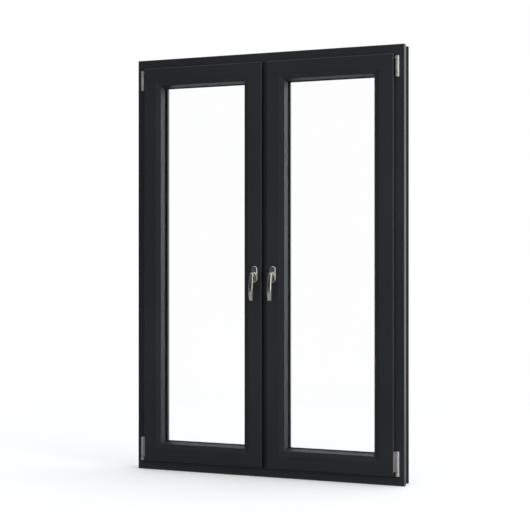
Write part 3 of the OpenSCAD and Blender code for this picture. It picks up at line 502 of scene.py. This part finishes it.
def addLip(form, low, high, front, back):
    # a soft lip around a glass opening, thin at the glass (back)
    size = lipSize
    way = 1 if back > front else -1
    back = back - way * size["offGlass"]
    section = [(-size["foot"], front + way * size["set"]), (size["nose"], front + way * size["set"]),
               (size["bend"][0], front + way * size["bend"][1]), (size["reach"], back - way * size["set"]),
               (size["reach"], back), (-size["foot"], back)]
    lip = bmesh.new()  # one corner's section, turned in four steps
    corner = [lip.verts.new((size["start"] - u, y, size["start"] - u)) for u, y in section]
    outline = [lip.edges.new((corner[k - 1], corner[k])) for k in range(len(corner))]
    bmesh.ops.spin(lip, geom=corner + outline, cent=(0, 0, 0), axis=(0, 1, 0), dvec=(0, 0, 0),
                   angle=math.tau, steps=4, use_merge=True)
    middle = (low + high) / 2
    grow = (high - low) / 2 - Vector((1, 1, 1)) * (size["ringWidth"] + size["start"])
    for v in lip.verts:  # the small square ring is drawn out to the opening
        v.co.x += middle.x + math.copysign(grow.x, v.co.x)
        v.co.z += middle.z + math.copysign(grow.z, v.co.z)
    joinForm(form, lip)


for side in sides:
    low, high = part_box(f"{side}_glazing_seals")
    glassLow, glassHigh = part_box(f"{side}_glass_panes")
    lipForm = bmesh.new()
    addLip(lipForm, low, high, low.y, glassLow.y)
    addLip(lipForm, low, high, high.y, glassHigh.y)
    finishedPiece(side + "SealLips", lipForm, f"{side}_sash", "rubber")
print("seal lips made")


floorLook = {
    "half": 40.0, "drop": 0.0004, "diffuse": (0.80, 0.80, 0.80, 1), "bounce": (0.075, 0.090, 0.096, 1),
    "glow": 0.255, "gleam": 0.50, "white": (1, 1, 1, 1),
    "behindFrom": -0.25, "behindTo": 0.35, "fadeFrom": 1.6, "fadeTo": 3.2,
}


def floorFinish():
    look = floorLook
    material, finish = newFinish("paleFloor")
    where = finish.objectPlace()
    path = finish.add("ShaderNodeLightPath", {}, {})
    direct = path["Is Camera Ray"].most(path["Is Transmission Ray"])
    place = finish.add("ShaderNodeSeparateXYZ", {}, {"Vector": where})
    mirrored = path["Is Glossy Ray"] * place["Y"].ease(look["behindFrom"], look["behindTo"])
    away = finish.add("ShaderNodeVectorMath", {"operation": "LENGTH"}, {0: where})["Value"]
    pale = finish.add("ShaderNodeBsdfDiffuse", {}, {"Color": look["diffuse"]})
    calm = finish.add("ShaderNodeBsdfDiffuse", {}, {"Color": look["bounce"]})  # what the object gets back
    matte = finish.add("ShaderNodeMixShader", {}, {0: direct, 1: calm[0], 2: pale[0]})
    glow = finish.add("ShaderNodeEmission", {}, {
        "Color": look["white"], "Strength": direct * look["glow"] + mirrored * look["gleam"]})
    near = finish.add("ShaderNodeAddShader", {}, {0: matte[0], 1: glow[0]})
    seen = direct.most(mirrored)
    far = finish.add("ShaderNodeEmission", {}, {"Color": look["white"], "Strength": seen})
    share = away.ease(look["fadeFrom"], look["fadeTo"])
    farMatte = finish.add("ShaderNodeMixShader", {}, {0: seen, 1: matte[0], 2: far[0]})
    finish.show(finish.add("ShaderNodeMixShader", {}, {0: share, 1: near[0], 2: farMatte[0]})[0])
    return material


def makeFloor():
    form = bmesh.new()
    bmesh.ops.create_grid(form, x_segments=1, y_segments=1, size=floorLook["half"])
    bmesh.ops.translate(form, verts=form.verts, vec=(0, 0, -floorLook["drop"]))
    mesh = bpy.data.meshes.new("paleFloor")
    form.to_mesh(mesh)
    form.free()
    mesh.materials.append(floorFinish())
    floor = bpy.data.objects.new("paleFloor", mesh)
    scene.collection.objects.link(floor)


worldLook = {
    "front": 0.06, "around": 1.0, "from": -0.85, "to": 0.0,
    "right": 1.0, "rightFrom": 0.4, "rightTo": 0.9,
    "left": 0.25, "leftFrom": -0.2, "leftTo": -0.8,
    "top": 1.35, "topFrom": 0.66, "topTo": 0.95,
    "tint": (0.94, 0.985, 1.0, 1), "seen": (1, 1, 1, 1),
}


def makeWorld():
    look = worldLook
    world = bpy.data.worlds.new("softStudio")
    world.use_nodes = True
    scene.world = world
    finish = Finish(world.node_tree)
    way = finish.add("ShaderNodeTexCoord", {}, {})["Generated"]
    part = finish.add("ShaderNodeSeparateXYZ", {}, {"Vector": way})
    path = finish.add("ShaderNodeLightPath", {}, {})
    seen = path["Is Camera Ray"].most(path["Is Transmission Ray"])
    level = look["front"] + part["Y"].ease(look["from"], look["to"]) * (look["around"] - look["front"])
    level = level + part["X"].ease(look["rightFrom"], look["rightTo"]) * look["right"]
    level = level * (1 - part["X"].ease(look["leftFrom"], look["leftTo"]) * (1 - look["left"]))
    level = level.most(part["Z"].ease(look["topFrom"], look["topTo"]) * look["top"])
    light = finish.add("ShaderNodeBackground", {}, {"Color": look["tint"], "Strength": level})
    back = finish.add("ShaderNodeBackground", {}, {"Color": look["seen"], "Strength": 1.0})
    sky = finish.add("ShaderNodeMixShader", {}, {0: seen, 1: light[0], 2: back[0]})
    finish.show(sky[0], "ShaderNodeOutputWorld")


lampLook = {  # the last three only show in glossy surfaces
    "key": {"place": (6.9, -2.0, 0.35), "aim": (0, 0, 0.9), "size": 3.6, "power": 520,
            "colour": (1.0, 0.99, 0.97)},
    "fill": {"place": (-1.2, -6.5, 2.0), "aim": (0, 0, 0.9), "size": 3.0, "power": 118,
             "colour": (1.0, 0.97, 0.97)},
    "card": {"place": (-0.66, -1.68, 0.22), "aim": (0, -0.08, 0.77), "size": 0.68, "power": 0.027,
             "colour": (1.0, 0.95, 0.88), "gleamOnly": True, "spread": 36},
    "edge": {"place": (2.1, -2.2, 0.6), "aim": (0, 0, 0.75), "size": 1.3, "power": 6.0,
             "colour": (1.0, 0.96, 0.9), "gleamOnly": True},
    "tray": {"place": (-0.5, -1.35, 0.02), "aim": (-0.5, -1.35, 1.0), "size": 2.5, "power": 5.2,
             "colour": (1.0, 0.98, 0.95), "gleamOnly": True, "spread": 130},
}


def makeLamps():
    for name, look in lampLook.items():
        lamp = bpy.data.lights.new(name, "AREA")
        lamp.shape = "SQUARE"
        lamp.size = look["size"]
        lamp.energy = look["power"]
        lamp.color = look["colour"]
        lamp.spread = math.radians(look.get("spread", 180))
        holder = bpy.data.objects.new(name, lamp)
        scene.collection.objects.link(holder)
        holder.visible_camera = False
        holder.visible_glossy = "gleamOnly" in look
        holder.visible_diffuse = "gleamOnly" not in look
        holder.location = look["place"]
        aim = Vector(look["aim"]) - Vector(look["place"])
        holder.rotation_euler = aim.to_track_quat("-Z", "Y").to_euler()


cameraLook = {"place": (1.687, -4.598, 0.914), "turn": 20.24, "lens": 78.23, "sensor": 36.0,
              "shiftY": -0.0065}


def makeCamera():
    look = cameraLook
    camera = bpy.data.cameras.new("photoView")
    camera.lens = look["lens"]
    camera.sensor_width = look["sensor"]
    camera.shift_y = look["shiftY"]
    holder = bpy.data.objects.new("photoView", camera)
    scene.collection.objects.link(holder)
    holder.location = look["place"]
    holder.rotation_euler = (math.pi / 2, 0, math.radians(look["turn"]))
    scene.camera = holder


makeFloor()
makeWorld()
makeLamps()
makeCamera()
print("studio made")
